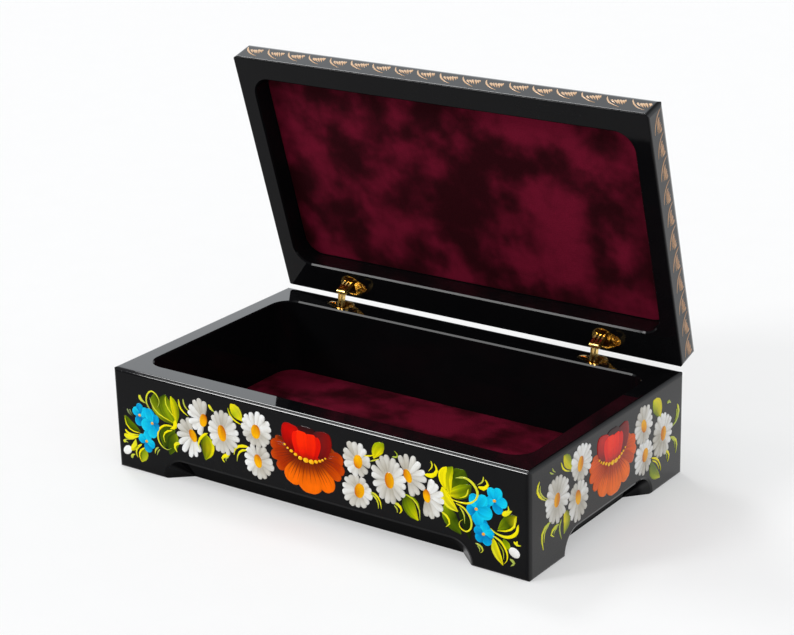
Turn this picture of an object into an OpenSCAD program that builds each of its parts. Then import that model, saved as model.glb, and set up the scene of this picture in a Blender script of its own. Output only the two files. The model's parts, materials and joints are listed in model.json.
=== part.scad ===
// Lacquered wooden casket with a lifting lid, velvet linings and two concealed barrel hinges.
// The boards stand on the floor at z = 0, +X runs to the right and the front looks along -Y.
// The lid is drawn open. The origin lies under the middle of the whole outline, lid included.

/* [Box] */
// Outside length, left to right
box_len = 260; // [200:1:340]
// Outside width, front to back
box_wid = 152; // [120:1:220]
// Height from the floor to the rim
box_high = 57; // [45:1:90]
// Thickness of the left and right boards
side_wall = 11.5; // [11:0.5:20]
// Thickness of the front board
front_wall = 13.5; // [11:0.5:20]
// Thickness of the back board, which holds the hinge barrels
back_wall = 18; // [17:0.5:24]
// Radius of the four inside corners
corner_r = 11; // [4:0.5:16]
// Radius on the upright outer edges
edge_r = 2.6; // [1:0.1:3]
// Radius on the outer edge of the rim
rim_r = 2.2; // [0.5:0.1:3]
// Radius on the outer edge at the floor
foot_r = 1.4; // [0.3:0.1:2]
// Chamfer on the inner edges of the rim and of the lid
mouth_ease = 0.8; // [0.2:0.1:1]

/* [Arches] */
// Height of the bevelled arch cut in each skirt
arch_high = 12.5; // [6:0.5:16]
// Depth at which the bevel runs out at the floor
arch_deep = 10.8; // [5:0.2:10.9]
// Distance from each end of a skirt to the foot of its arch
arch_inset = 32.5; // [20:0.5:40]
// Width of the small chamfer round the arch
arch_ease = 0.6; // [0.2:0.1:1]
// How far the bevel stops short of its edge at the floor
arch_toe = 0.4; // [0.2:0.1:1]

/* [Floor] */
// Underside of the bottom panel above the floor
panel_z = 8.5; // [4:0.5:14]
// Thickness of the bottom panel
panel_thick = 4; // [3:0.5:6]
// Depth of the groove that holds the bottom panel
groove_deep = 5; // [3:0.5:5]
// Play of the bottom panel in its groove
groove_play = 0.2; // [0.1:0.1:0.4]
// Thickness of the card under each velvet lining
card_thick = 1.4; // [0.8:0.1:2]
// Thickness of the velvet
velvet_thick = 1.1; // [0.6:0.1:2]
// Gap from the linings to the wood round them
lining_gap = 0.3; // [0.1:0.1:0.8]

/* [Lid] */
// Thickness of the lid
lid_thick = 17; // [16.5:0.5:24]
// How far the lid is set back from the faces of the box
lid_inset = 1; // [0.5:0.1:2]
// Gap between the rim and the closed lid
lid_gap = 0.4; // [0.2:0.1:0.8]
// Radius of the rounded upper edges of the lid
lid_round = 5; // [2:0.5:6]
// Radius on the lower outer edge of the lid
lid_foot_r = 1; // [0.3:0.1:1.5]
// Width of the left and right lid rails
lid_side = 10.5; // [10:0.5:18]
// Width of the front lid rail
lid_front = 12.5; // [10:0.5:18]
// Width of the back lid rail
lid_back = 18; // [16:0.5:22]
// Thickness of the lid panel
lid_panel_thick = 3.5; // [2:0.5:3.5]
// How far the lid panel laps on to the rails
lid_panel_lap = 4; // [2:0.5:5]
// Angle of the open lid
lid_open = 74; // [0:1:95]

/* [Hinges] */
// Distance from each end of the box to the middle of a hinge
hinge_inset = 47.3; // [35:0.1:70]
// Distance from the back face of the box in to the middle of a barrel
barrel_in = 9.5; // [8:0.1:10]
// Outside radius of a barrel
barrel_r = 6.5; // [6.5:0.1:7]
// Length of a barrel
barrel_long = 13; // [12.8:0.1:13.2]
// Play of a barrel and its ear in the wood
barrel_play = 0.05; // [0.02:0.01:0.1]
// Distance from the back face of the box out to the axis that the lid turns on
pivot_out = 0.3; // [0.2:0.1:1]
// Distance from the back face of the box in to the knuckle of the closed hinge
knuckle_in = 13.2; // [12.5:0.1:13.3]
// Distance between the two ends of a link
link_long = 12.4; // [11:0.1:12.5]
// Thickness of a link plate
link_thick = 1; // [0.6:0.1:1.05]
// Spacing of neighbouring link plates
link_pitch = 1.15; // [1.1:0.05:1.2]
// Width of a link plate beside the knuckle
link_wide = 2.8; // [2:0.1:3]
// Radius of a link plate round the knuckle pin
knuckle_r = 1.6; // [1.2:0.1:1.7]
// Radius of a link plate round the tail pin
tail_r = 1.1; // [0.9:0.1:1.3]
// Width of the slot in a barrel
slot_wide = 6.3; // [6:0.1:6.6]
// Distance from the back face of the box in to the far end of the slot
slot_far = 15; // [14.9:0.1:15.2]
// Distance from the back face of the box in to the near end of the slot
slot_near = 4.3; // [4:0.1:5]
// Depth of the slot
slot_deep = 12.4; // [12.2:0.1:12.6]
// Depth of the guide tracks in the walls of the slot
track_deep = 0.8; // [0.4:0.1:1]
// Radius of a tail pin
tail_pin_r = 0.7; // [0.5:0.05:0.8]
// Radius of a knuckle pin
knuckle_pin_r = 0.6; // [0.4:0.05:0.8]
// Running clearance of a pin in its track or eye
pin_run = 0.08; // [0.05:0.01:0.1]
// Clearance of a pin pressed into a plate
pin_press = 0.02; // [0.01:0.01:0.03]
// How far a pin stops short of the wall beside its end
pin_end_gap = 0.15; // [0.1:0.05:0.25]
// Thickness of the screw ear on a barrel
ear_thick = 1; // [0.8:0.1:1.2]
// Radius of the rounded end of the ear
ear_r = 3; // [2.8:0.1:3.4]
// Distance from the middle of a barrel to its screw
ear_out = 7.8; // [7.6:0.1:9]
// Radius of the screw head
screw_head_r = 2.4; // [2:0.1:2.6]
// Height of the raised top of the screw head
screw_crown = 0.25; // [0.1:0.05:0.3]
// Radius of the screw shank
screw_r = 1.2; // [0.9:0.1:1.4]
// Length of the screw below the ear
screw_long = 9; // [6:0.5:11]
// Width of the screwdriver slot
driver_wide = 0.6; // [0.4:0.1:0.8]
// Depth of the screwdriver slot
driver_deep = 0.6; // [0.3:0.1:0.8]

/* [Hidden] */
$fn = 96;

// One overrun for every cut
overrun = 1;
// How far a mitre line starts outside its corner, as a share of the board's thickness
mitre_start_share = -0.2;
// Length of the screw's point, as a share of its radius
screw_point_share = 2;

lacquer = [0.06, 0.06, 0.07];
velvet_red = [0.36, 0.06, 0.16];
card_grey = [0.45, 0.43, 0.4];
plywood = [0.62, 0.48, 0.33];
brass = [0.83, 0.63, 0.26];

// Rails and recess of the lid, which is set back all round
lid_len = box_len - 2 * lid_inset;
lid_wid = box_wid - 2 * lid_inset;
lining_thick = card_thick + velvet_thick;
recess_deep = lid_thick - lid_panel_thick;

// The closed lid and the box meet at the parting plane, and the lid turns on an axis in it
parting_z = box_high + lid_gap / 2;
lid_z = box_high + lid_gap;

// How far the open lid reaches behind the box, to its rounded back edge
round_above_axis = lid_gap / 2 + lid_thick - lid_round;
round_before_axis = pivot_out + lid_inset + lid_round;
lid_overhang = pivot_out + lid_round
    + round_above_axis * sin(lid_open) - round_before_axis * cos(lid_open);
box_mid_y = -lid_overhang / 2;

// Knuckle and tail of a link run on one arc round the lid's axis, and a link turns half as far
// as the lid, so the knuckles of both halves stay in the plane that halves the lid's angle
swing_r = pivot_out + knuckle_in;
tail_angle = 2 * asin(link_long / (2 * swing_r));
knuckle_at = [-knuckle_in, 0];
tail_at = [pivot_out - swing_r * cos(tail_angle), -swing_r * sin(tail_angle)];
hinge_x = box_len / 2 - hinge_inset;
tail_pin_long = slot_wide + 2 * (track_deep - pin_end_gap);
knuckle_pin_long = slot_wide - 2 * pin_end_gap;

// Where a mitre line stands at a share of the two walls' thickness, for one corner of a frame
function mitre(len, wid, side, front, back, sx, sy, share) =
    [sx * (len / 2 - share * side), sy < 0 ? share * front - wid / 2 : wid / 2 - share * back];

// Rectangle with four round corners, centred
module round_rect(len, wid, r) {
    square([len - 2 * r, wid], center = true);
    square([len, wid - 2 * r], center = true);
    for (sx = [-1, 1], sy = [-1, 1])
        translate([sx * (len / 2 - r), sy * (wid / 2 - r)]) circle(r);
}

// Upright outline standing on y = 0, with its own radius below and above
module upright_outline(wide, high, low_r, top_r) {
    translate([-wide / 2, low_r]) square([wide, high - low_r - top_r]);
    for (end = [[low_r, low_r, 0], [top_r, high - top_r, high - top_r]]) {
        translate([end[0] - wide / 2, end[2]]) square([wide - 2 * end[0], end[0]]);
        for (sx = [-1, 1]) translate([sx * (wide / 2 - end[0]), end[1]]) circle(end[0]);
    }
}

// Solid block with rounded upright, lower and upper edges, which meet in crisp corners
module eased_block(len, wid, high, low_r, top_r) {
    intersection() {
        translate([0, 0, -overrun]) linear_extrude(high + 2 * overrun) round_rect(len, wid, edge_r);
        rotate([90, 0, 0])
            linear_extrude(wid + 2 * overrun, center = true) upright_outline(len, high, low_r, top_r);
        rotate([90, 0, 90])
            linear_extrude(len + 2 * overrun, center = true) upright_outline(wid, high, low_r, top_r);
    }
}

// Section of the flared mouth: full width one chamfer below z = 0, wider above
module flare_section(wide, ease) {
    polygon([
        [-wide / 2, -ease], [wide / 2, -ease],
        [wide / 2 + 2 * ease, ease], [-wide / 2 - 2 * ease, ease]
    ]);
}

// Hollow with round corners that opens upwards at z = 0 with a chamfered mouth
module mouth_cut(len, wid, deep) {
    translate([0, 0, -deep]) linear_extrude(deep + mouth_ease) round_rect(len, wid, corner_r);
    for (sx = [-1, 1], sy = [-1, 1])
        translate([sx * (len / 2 - corner_r), sy * (wid / 2 - corner_r), -mouth_ease])
            cylinder(h = 2 * mouth_ease, r1 = corner_r, r2 = corner_r + 2 * mouth_ease);
    rotate([90, 0, 0])
        linear_extrude(wid - 2 * corner_r, center = true) flare_section(len, mouth_ease);
    rotate([90, 0, 90])
        linear_extrude(len - 2 * corner_r, center = true) flare_section(wid, mouth_ease);
}

// Plan of one board of a mitred frame: "front", "back", "left" or "right"
module mitred_plan(len, wid, side, front, back, which) {
    start = mitre_start_share;
    stop = 1 + corner_r / min(side, front, back);
    ends = which == "front" ? [[-1, -1], [1, -1]] : which == "back" ? [[-1, 1], [1, 1]]
        : which == "left" ? [[-1, -1], [-1, 1]] : [[1, -1], [1, 1]];
    polygon([
        mitre(len, wid, side, front, back, ends[0][0], ends[0][1], start),
        mitre(len, wid, side, front, back, ends[1][0], ends[1][1], start),
        mitre(len, wid, side, front, back, ends[1][0], ends[1][1], stop),
        mitre(len, wid, side, front, back, ends[0][0], ends[0][1], stop)
    ]);
}

// Bevelled arch along X in a face at y = 0 that looks along -Y: a bevel with a quarter cone at
// each end, and a steeper one round its outline that leaves the small chamfer
module arch_cut(skirt_len) {
    straight = skirt_len - 2 * (arch_inset + arch_high);
    ease_high = arch_high + arch_ease;
    ease_angle = atan(arch_high / arch_deep) / 2;
    for (cut = [[arch_high, arch_deep], [ease_high, ease_high * tan(ease_angle)]]) {
        slope = cut[0] / cut[1];
        outer_high = cut[0] + overrun * slope;
        toe_high = arch_toe * slope;
        toe_deep = cut[1] - arch_toe;
        rotate([90, 0, 90]) linear_extrude(straight, center = true) polygon([
            [-overrun, -overrun], [toe_deep, -overrun], [toe_deep, toe_high], [-overrun, outer_high]
        ]);
        for (sx = [-1, 1]) translate([sx * straight / 2, -overrun, 0]) rotate([-90, 0, 0])
            cylinder(h = toe_deep + overrun, r1 = outer_high, r2 = toe_high);
    }
}

// Everything stands with the box's middle a little before the origin
module stand() {
    translate([0, box_mid_y, 0]) children();
}

// Turns the closed lid, or a link by its own angle, about the lid's axis
module turn_open(angle) {
    translate([0, box_wid / 2 + pivot_out, parting_z]) rotate([-angle, 0, 0])
        translate([0, -box_wid / 2 - pivot_out, -parting_z]) children();
}

// Puts a hinge half in place: its frame starts at the back face and the parting plane
module at_hinge(side) {
    translate([side * hinge_x, box_wid / 2, parting_z]) children();
}

// The lid's half of a hinge is the box's half turned over
module turned_over() {
    rotate([0, 180, 0]) children();
}

// Opening of the box and of the lid, which sit off centre because the walls differ
module box_opening(deep) {
    translate([0, (front_wall - back_wall) / 2, box_high])
        mouth_cut(box_len - 2 * side_wall, box_wid - front_wall - back_wall, deep);
}

module lid_opening() {
    translate([0, (lid_front - lid_back) / 2, lid_z]) mirror([0, 0, 1])
        mouth_cut(lid_len - 2 * lid_side, lid_wid - lid_front - lid_back, recess_deep);
}

// Block of the bottom panel, or of its groove when it is grown by the play
module floor_block(play) {
    len = box_len - 2 * side_wall + 2 * (groove_deep - groove_play + play);
    wid = box_wid - front_wall - back_wall + 2 * (groove_deep - groove_play + play);
    translate([-len / 2, (front_wall - back_wall - wid) / 2, panel_z]) cube([len, wid, panel_thick + play]);
}

// Flat sheet that fits an opening, with the same round corners and a gap all round
module lining_sheet(len, wid, thick) {
    linear_extrude(thick) round_rect(len - 2 * lining_gap, wid - 2 * lining_gap, corner_r - lining_gap);
}

module floor_sheet(z, thick) {
    translate([0, (front_wall - back_wall) / 2, z])
        lining_sheet(box_len - 2 * side_wall, box_wid - front_wall - back_wall, thick);
}

module lid_sheet(z, thick) {
    translate([0, (lid_front - lid_back) / 2, z])
        lining_sheet(lid_len - 2 * lid_side, lid_wid - lid_front - lid_back, thick);
}

module lid_panel_block(over) {
    len = lid_len - 2 * lid_side + 2 * lid_panel_lap;
    wid = lid_wid - lid_front - lid_back + 2 * lid_panel_lap;
    translate([-len / 2, (lid_front - lid_back - wid) / 2, lid_z + recess_deep])
        cube([len, wid, lid_panel_thick + over]);
}

// Plan of a barrel with its screw ear, grown all round for the recess that takes it
module ear_plan(grow) {
    lean = asin((barrel_r - ear_r) / ear_out);
    circle(barrel_r + grow);
    translate([-ear_out, 0]) circle(ear_r + grow);
    polygon([
        for (end = [[0, barrel_r + grow, 1], [0, barrel_r + grow, -1],
                    [ear_out, ear_r + grow, -1], [ear_out, ear_r + grow, 1]])
            [-end[0] - end[1] * sin(lean), end[2] * end[1] * cos(lean)]
    ]);
}

// Bore, ear recess and screw hole that a hinge half needs in the wood, in the hinge's frame
module hinge_housing() {
    translate([0, -barrel_in, -lid_gap / 2]) {
        translate([0, 0, -barrel_long - barrel_play])
            cylinder(h = barrel_long + barrel_play + overrun, r = barrel_r + barrel_play);
        translate([0, 0, -ear_thick]) linear_extrude(ear_thick + overrun) ear_plan(barrel_play);
        translate([-ear_out, 0, -ear_thick - screw_long])
            cylinder(h = screw_long + overrun, r = screw_r + pin_press);
    }
}

// Curved track for the tail pin, which stops just past the pin of the closed hinge
module tail_track() {
    half = tail_pin_r + pin_run;
    wide = slot_wide + 2 * track_deep;
    track_stop = tail_at[0] + half;
    intersection() {
        translate([-wide / 2, pivot_out, 0]) rotate([0, 90, 0]) difference() {
            cylinder(h = wide, r = swing_r + half);
            translate([0, 0, -overrun]) cylinder(h = wide + 2 * overrun, r = swing_r - half);
        }
        translate([-wide, -slot_far, -lid_gap / 2 - slot_deep])
            cube([2 * wide, slot_far + track_stop, slot_deep + overrun]);
    }
}

// Brass barrel with its slot, tracks and countersunk ear
module barrel() {
    color(brass) difference() {
        translate([0, -barrel_in, -lid_gap / 2]) {
            translate([0, 0, -barrel_long]) cylinder(h = barrel_long, r = barrel_r);
            translate([0, 0, -ear_thick]) linear_extrude(ear_thick) ear_plan(0);
        }
        translate([-slot_wide / 2, -slot_far, -lid_gap / 2 - slot_deep])
            cube([slot_wide, slot_far - slot_near, slot_deep + overrun]);
        tail_track();
        translate([-ear_out, -barrel_in, -lid_gap / 2]) {
            translate([0, 0, -ear_thick])
                cylinder(h = ear_thick, r1 = screw_r + pin_press, r2 = screw_head_r + pin_press);
            translate([0, 0, -ear_thick - overrun])
                cylinder(h = ear_thick + overrun, r = screw_r + pin_press);
            cylinder(h = overrun, r = screw_head_r + pin_press);
        }
    }
}

// One flat plate from knuckle to tail
module link_plate(x, knuckle_play) {
    along = (tail_at - knuckle_at) / link_long;
    across = [-along[1], along[0]];
    translate([x, 0, 0]) rotate([90, 0, 90]) linear_extrude(link_thick, center = true)
        difference() {
            union() {
                translate(knuckle_at) circle(knuckle_r);
                translate(tail_at) circle(tail_r);
                polygon([
                    knuckle_at + across * link_wide / 2, tail_at + across * tail_r,
                    tail_at - across * tail_r, knuckle_at - across * link_wide / 2
                ]);
            }
            translate(knuckle_at) circle(knuckle_pin_r + knuckle_play);
            translate(tail_at) circle(tail_pin_r + pin_press);
        }
}

// The box's half has two plates and the lid's half has three, which interleave at the knuckle
module link_pair() {
    color(brass) for (x = [-link_pitch, link_pitch]) link_plate(x, pin_press);
}

module link_triple() {
    color(brass) for (x = [-2 * link_pitch, 0, 2 * link_pitch]) link_plate(x, pin_run);
}

module cross_pin(at, long, r) {
    color(brass) translate([-long / 2, at[0], at[1]]) rotate([0, 90, 0]) cylinder(h = long, r = r);
}

// Raised countersunk wood screw, its head flush with the ear
module hinge_screw() {
    crown_r = (pow(screw_head_r, 2) + pow(screw_crown, 2)) / (2 * screw_crown);
    point = screw_point_share * screw_r;
    color(brass) translate([-ear_out, -barrel_in, -lid_gap / 2]) difference() {
        union() {
            translate([0, 0, -ear_thick]) cylinder(h = ear_thick, r1 = screw_r, r2 = screw_head_r);
            translate([0, 0, point - ear_thick - screw_long])
                cylinder(h = screw_long - point, r = screw_r);
            translate([0, 0, -ear_thick - screw_long]) cylinder(h = point, r1 = 0, r2 = screw_r);
            intersection() {
                translate([0, 0, screw_crown - crown_r]) sphere(crown_r);
                cylinder(h = overrun, r = screw_head_r);
            }
        }
        translate([-screw_head_r - overrun, -driver_wide / 2, screw_crown - driver_deep])
            cube([2 * (screw_head_r + overrun), driver_wide, driver_deep + overrun]);
    }
}

// Frame of the box, with its opening and the groove for the bottom panel
module box_frame() {
    difference() {
        eased_block(box_len, box_wid, box_high, foot_r, rim_r);
        box_opening(box_high + overrun);
        floor_block(groove_play);
    }
}

module box_board(which) {
    intersection() {
        box_frame();
        translate([0, 0, -overrun]) linear_extrude(box_high + 2 * overrun)
            mitred_plan(box_len, box_wid, side_wall, front_wall, back_wall, which);
    }
}

// Frame of the lid, with its recess and the rebate that takes the panel
module lid_frame() {
    difference() {
        translate([0, 0, lid_z]) eased_block(lid_len, lid_wid, lid_thick, lid_foot_r, lid_round);
        lid_opening();
        lid_panel_block(overrun);
    }
}

module lid_rail(which) {
    intersection() {
        lid_frame();
        translate([0, 0, lid_z - overrun]) linear_extrude(lid_thick + 2 * overrun)
            mitred_plan(lid_len, lid_wid, lid_side, lid_front, lid_back, which);
    }
}

module front_board() {
    color(lacquer) stand() difference() {
        box_board("front");
        translate([0, -box_wid / 2, 0]) arch_cut(box_len);
    }
}

module back_board() {
    color(lacquer) stand() difference() {
        box_board("back");
        translate([0, box_wid / 2, 0]) rotate([0, 0, 180]) arch_cut(box_len);
        for (side = [-1, 1]) at_hinge(side) hinge_housing();
    }
}

module left_board() {
    color(lacquer) stand() difference() {
        box_board("left");
        translate([-box_len / 2, 0, 0]) rotate([0, 0, -90]) arch_cut(box_wid);
    }
}

module right_board() {
    color(lacquer) stand() difference() {
        box_board("right");
        translate([box_len / 2, 0, 0]) rotate([0, 0, 90]) arch_cut(box_wid);
    }
}

module bottom_panel() {
    color(plywood) stand() floor_block(0);
}

module floor_card() {
    color(card_grey) stand() floor_sheet(panel_z + panel_thick, card_thick);
}

module floor_velvet() {
    color(velvet_red) stand() floor_sheet(panel_z + panel_thick + card_thick, velvet_thick);
}

module lid_front_rail() {
    color(lacquer) stand() turn_open(lid_open) lid_rail("front");
}

module lid_back_rail() {
    color(lacquer) stand() turn_open(lid_open) difference() {
        lid_rail("back");
        for (side = [-1, 1]) at_hinge(side) turned_over() hinge_housing();
    }
}

module lid_left_rail() {
    color(lacquer) stand() turn_open(lid_open) lid_rail("left");
}

module lid_right_rail() {
    color(lacquer) stand() turn_open(lid_open) lid_rail("right");
}

module lid_top_panel() {
    color(lacquer) stand() turn_open(lid_open) lid_panel_block(0);
}

module lid_card() {
    color(card_grey) stand() turn_open(lid_open) lid_sheet(lid_z + recess_deep - card_thick, card_thick);
}

module lid_velvet() {
    color(velvet_red) stand() turn_open(lid_open)
        lid_sheet(lid_z + recess_deep - lining_thick, velvet_thick);
}

module box_barrel(side) {
    stand() at_hinge(side) barrel();
}

module lid_barrel(side) {
    stand() turn_open(lid_open) at_hinge(side) turned_over() barrel();
}

// Links and their pins stand half as far open as the lid
module lower_half(side) {
    stand() turn_open(lid_open / 2) at_hinge(side) children();
}

module upper_half(side) {
    stand() turn_open(lid_open / 2) at_hinge(side) turned_over() children();
}

module box_hinge_screws() {
    stand() for (side = [-1, 1]) at_hinge(side) hinge_screw();
}

module lid_hinge_screws() {
    stand() turn_open(lid_open) for (side = [-1, 1]) at_hinge(side) turned_over() hinge_screw();
}

front_board();
back_board();
left_board();
right_board();
bottom_panel();
floor_card();
floor_velvet();
lid_front_rail();
lid_back_rail();
lid_left_rail();
lid_right_rail();
lid_top_panel();
lid_card();
lid_velvet();
box_barrel(-1);  // left_box_barrel
box_barrel(1);  // right_box_barrel
lid_barrel(-1);  // left_lid_barrel
lid_barrel(1);  // right_lid_barrel
lower_half(-1) link_pair();  // left_lower_links
lower_half(1) link_pair();  // right_lower_links
upper_half(-1) link_triple();  // left_upper_links
upper_half(1) link_triple();  // right_upper_links
lower_half(-1) cross_pin(knuckle_at, knuckle_pin_long, knuckle_pin_r);  // left_knuckle_pin
lower_half(1) cross_pin(knuckle_at, knuckle_pin_long, knuckle_pin_r);  // right_knuckle_pin
lower_half(-1) cross_pin(tail_at, tail_pin_long, tail_pin_r);  // left_lower_tail_pin
lower_half(1) cross_pin(tail_at, tail_pin_long, tail_pin_r);  // right_lower_tail_pin
upper_half(-1) cross_pin(tail_at, tail_pin_long, tail_pin_r);  // left_upper_tail_pin
upper_half(1) cross_pin(tail_at, tail_pin_long, tail_pin_r);  // right_upper_tail_pin
box_hinge_screws();
lid_hinge_screws();
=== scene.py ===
"""Black lacquered wooden casket with painted garden flowers, velvet linings and brass barrel hinges.

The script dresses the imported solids, in metres and in their own frame, with the lid standing open.
"""

import json
import math
import random

import bpy
import numpy as np
from mathutils import Matrix, Vector


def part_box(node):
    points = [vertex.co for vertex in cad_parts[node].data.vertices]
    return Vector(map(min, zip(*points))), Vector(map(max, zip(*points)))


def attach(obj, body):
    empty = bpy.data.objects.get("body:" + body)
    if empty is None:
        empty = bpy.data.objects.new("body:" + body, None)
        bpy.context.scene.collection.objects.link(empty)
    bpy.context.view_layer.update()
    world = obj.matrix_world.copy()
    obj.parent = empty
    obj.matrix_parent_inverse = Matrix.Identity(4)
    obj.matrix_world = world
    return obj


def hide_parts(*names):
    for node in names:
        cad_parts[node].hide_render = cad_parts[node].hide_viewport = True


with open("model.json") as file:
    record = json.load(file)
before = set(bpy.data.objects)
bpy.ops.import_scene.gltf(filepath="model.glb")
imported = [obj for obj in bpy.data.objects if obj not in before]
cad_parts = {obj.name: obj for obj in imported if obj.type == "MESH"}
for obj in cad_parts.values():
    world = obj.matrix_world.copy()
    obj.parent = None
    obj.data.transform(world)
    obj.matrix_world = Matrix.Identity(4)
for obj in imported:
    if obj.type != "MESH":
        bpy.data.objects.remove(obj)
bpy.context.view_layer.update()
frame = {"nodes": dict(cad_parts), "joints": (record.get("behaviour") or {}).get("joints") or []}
bpy.ops.object.select_all(action="DESELECT")

# Viewpoint: a long lens from the front right, a little above the open box. It is turned by a small
# roll, as the object was photographed.
LENS_MM, SENSOR_MM = 96.81, 36
CAMERA_PLACE = (0.6102, -0.85494, 0.46306)
NEAREST, FARTHEST = 0.05, 60
AZIMUTH, ELEVATION, ROLL = (math.radians(a) for a in (35.661, 19.877, -1.502))
camera = bpy.data.objects.new("camera", bpy.data.cameras.new("camera"))
bpy.context.scene.collection.objects.link(camera)
back = Vector((math.sin(AZIMUTH) * math.cos(ELEVATION),
               -math.cos(AZIMUTH) * math.cos(ELEVATION), math.sin(ELEVATION)))
level = Vector((0, 0, 1)).cross(back).normalized()
above = back.cross(level)
right = level * math.cos(ROLL) + above * math.sin(ROLL)
upward = above * math.cos(ROLL) - level * math.sin(ROLL)
turn = Matrix((right, upward, back)).transposed().to_4x4()
camera.matrix_world = Matrix.Translation(CAMERA_PLACE) @ turn
camera.data.lens, camera.data.sensor_width = LENS_MM, SENSOR_MM
camera.data.clip_start, camera.data.clip_end = NEAREST, FARTHEST
bpy.context.scene.camera = camera


# Box and lid frames: boards of wood glued at mitred corners, filled, sanded and covered with many
# coats of black lacquer that are rubbed down and polished like piano black, inside and out. Faces
# that look down get a duller lacquer whose darker colour is painted shade.
class Tone:
    """A value that runs through a finish, so that sums on it are written like plain sums."""

    def __init__(self, finish, socket):
        self.finish, self.socket = finish, socket

    def __add__(self, other):
        return self.finish.sum("ADD", self, other)

    def __sub__(self, other):
        return self.finish.sum("SUBTRACT", self, other)

    def __rsub__(self, other):
        return self.finish.sum("SUBTRACT", other, self)

    def __mul__(self, other):
        return self.finish.sum("MULTIPLY", self, other)

    __radd__, __rmul__ = __add__, __mul__


class Finish:
    """One surface finish, or the light all round, whose nodes are added one by one."""

    def __init__(self, name, shelf=bpy.data.materials):
        self.look = shelf.new(name)
        self.look.use_nodes = True
        self.tree = self.look.node_tree
        self.tree.nodes.clear()

    def node(self, kind, settings=None, sockets=None, out=0):
        """One node, its settings, and the values or links of its sockets."""
        made = self.tree.nodes.new(kind)
        for name, value in (settings or {}).items():
            setattr(made, name, value)
        for name, value in (sockets or {}).items():
            if isinstance(value, Tone):
                self.tree.links.new(value.socket, made.inputs[name])
            else:
                made.inputs[name].default_value = value
        return Tone(self, made.outputs[out]) if made.outputs else None

    def sum(self, how, *values):
        """Maths of any kind on values."""
        return self.node("ShaderNodeMath", {"operation": how}, dict(enumerate(values)))

    def stretched(self, at, by):
        """A place that is stretched along its axes."""
        return self.node("ShaderNodeVectorMath", {"operation": "MULTIPLY"}, {0: at, 1: by})

    def place(self, stretch=(1, 1, 1)):
        """Place on the object in metres, stretched along its axes."""
        return self.stretched(self.node("ShaderNodeTexCoord", out="Object"), stretch)

    def cloud(self, at, per_metre, detail, roughness=0.5, distortion=0.0):
        """Soft random pattern between 0 and 1."""
        return self.node("ShaderNodeTexNoise", None, {
            "Vector": at, "Scale": per_metre, "Detail": detail,
            "Roughness": roughness, "Distortion": distortion})

    def step(self, value, low, high, to_low=0.0, to_high=1.0):
        """Smooth step from one level to another while the value rises from low to high."""
        return self.node("ShaderNodeMapRange", {"interpolation_type": "SMOOTHSTEP"},
                         {0: value, 1: low, 2: high, 3: to_low, 4: to_high})

    def blend(self, share, first, second, how="MIX"):
        """Mix of two colours."""
        return self.node("ShaderNodeMix", {"data_type": "RGBA", "blend_type": how}, {
            0: share,
            6: first if isinstance(first, Tone) else (*first, 1),
            7: second if isinstance(second, Tone) else (*second, 1)}, out=2)

    def relief(self, height, depth):
        """Fine relief, with its depth in metres."""
        return self.node("ShaderNodeBump", None, {"Distance": depth, "Height": height})

    def shader(self, sockets):
        """The surface itself."""
        return self.node("ShaderNodeBsdfPrincipled", None, sockets)

    def mix(self, share, first, second):
        """Mix of two shaders."""
        return self.node("ShaderNodeMixShader", None, {0: share, 1: first, 2: second})

    def done(self, shader):
        """The finished look."""
        self.node("ShaderNodeOutputMaterial", None, {"Surface": shader})
        return self.look


def along(finish, what, axis):
    """One part of the place on the object, or of the way that the surface faces."""
    which = finish.node("ShaderNodeTexCoord", out=what)
    return finish.node("ShaderNodeSeparateXYZ", None, {0: which}, out=axis)


# Where the polish changes, in metres.
RIM_HEIGHT = 0.057
LID_STARTS = (0.0574, 0.0576)
OUTER_ENDS = (0.125, 0.127)


def polish(finish):
    """Weight of the clear coat, which shows on the outer ends, the rim and the edges of the lid."""
    sideways = finish.sum("ABSOLUTE", along(finish, "Normal", 0))
    outward = finish.sum("ABSOLUTE", along(finish, "Object", 0))
    upward, height = along(finish, "Normal", 2), along(finish, "Object", 2)
    ends = finish.step(sideways, 0.5, 0.9) * finish.step(outward, *OUTER_ENDS, 0.0, 0.6)
    ends = ends * (finish.step(height, 0.0, RIM_HEIGHT, 1.1, 0.75)
                   + finish.step(height, *LID_STARTS, 0.0, 0.5))
    box_tops = finish.step(upward, 0.3, 0.5) * finish.step(height, *LID_STARTS, 1.0, 0.0)
    lid_tops = finish.step(upward, 0.7, 0.9)
    tops = finish.sum("MAXIMUM", box_tops, lid_tops) * finish.step(sideways, 0.1, 0.4, 1.0, 0.0)
    return finish.sum("MAXIMUM", ends, tops)


lacquer = Finish("black_lacquer")
spot = lacquer.place()
haze = lacquer.cloud(spot, 38, 4, 0.6)
rubbing = lacquer.cloud(lacquer.place((1, 1, 9)), 420, 3, 0.6)
peel = lacquer.cloud(spot, 160, 1.5)
polished = lacquer.shader({
    "Base Color": lacquer.blend(haze, (0.0022, 0.0022, 0.0028), (0.0048, 0.0047, 0.0052)),
    "Roughness": lacquer.step(haze, 0.35, 0.75, 0.02, 0.05) + rubbing * 0.03,
    "Specular IOR Level": 0.085,
    "Coat Weight": polish(lacquer),
    "Coat Roughness": 0.015,
    "Normal": lacquer.relief(peel * 0.8 + rubbing * 0.2, 0.000006),
})
# Lacquer for faces that look down: a darker colour, which is painted shade, with no shine.
dull_and_shaded = lacquer.shader({
    "Base Color": lacquer.blend(haze, (0.0012, 0.0012, 0.0015), (0.0028, 0.0027, 0.003)),
    "Roughness": lacquer.step(haze, 0.35, 0.75, 0.5, 0.6),
    "Specular IOR Level": 0.0,
})
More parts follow.
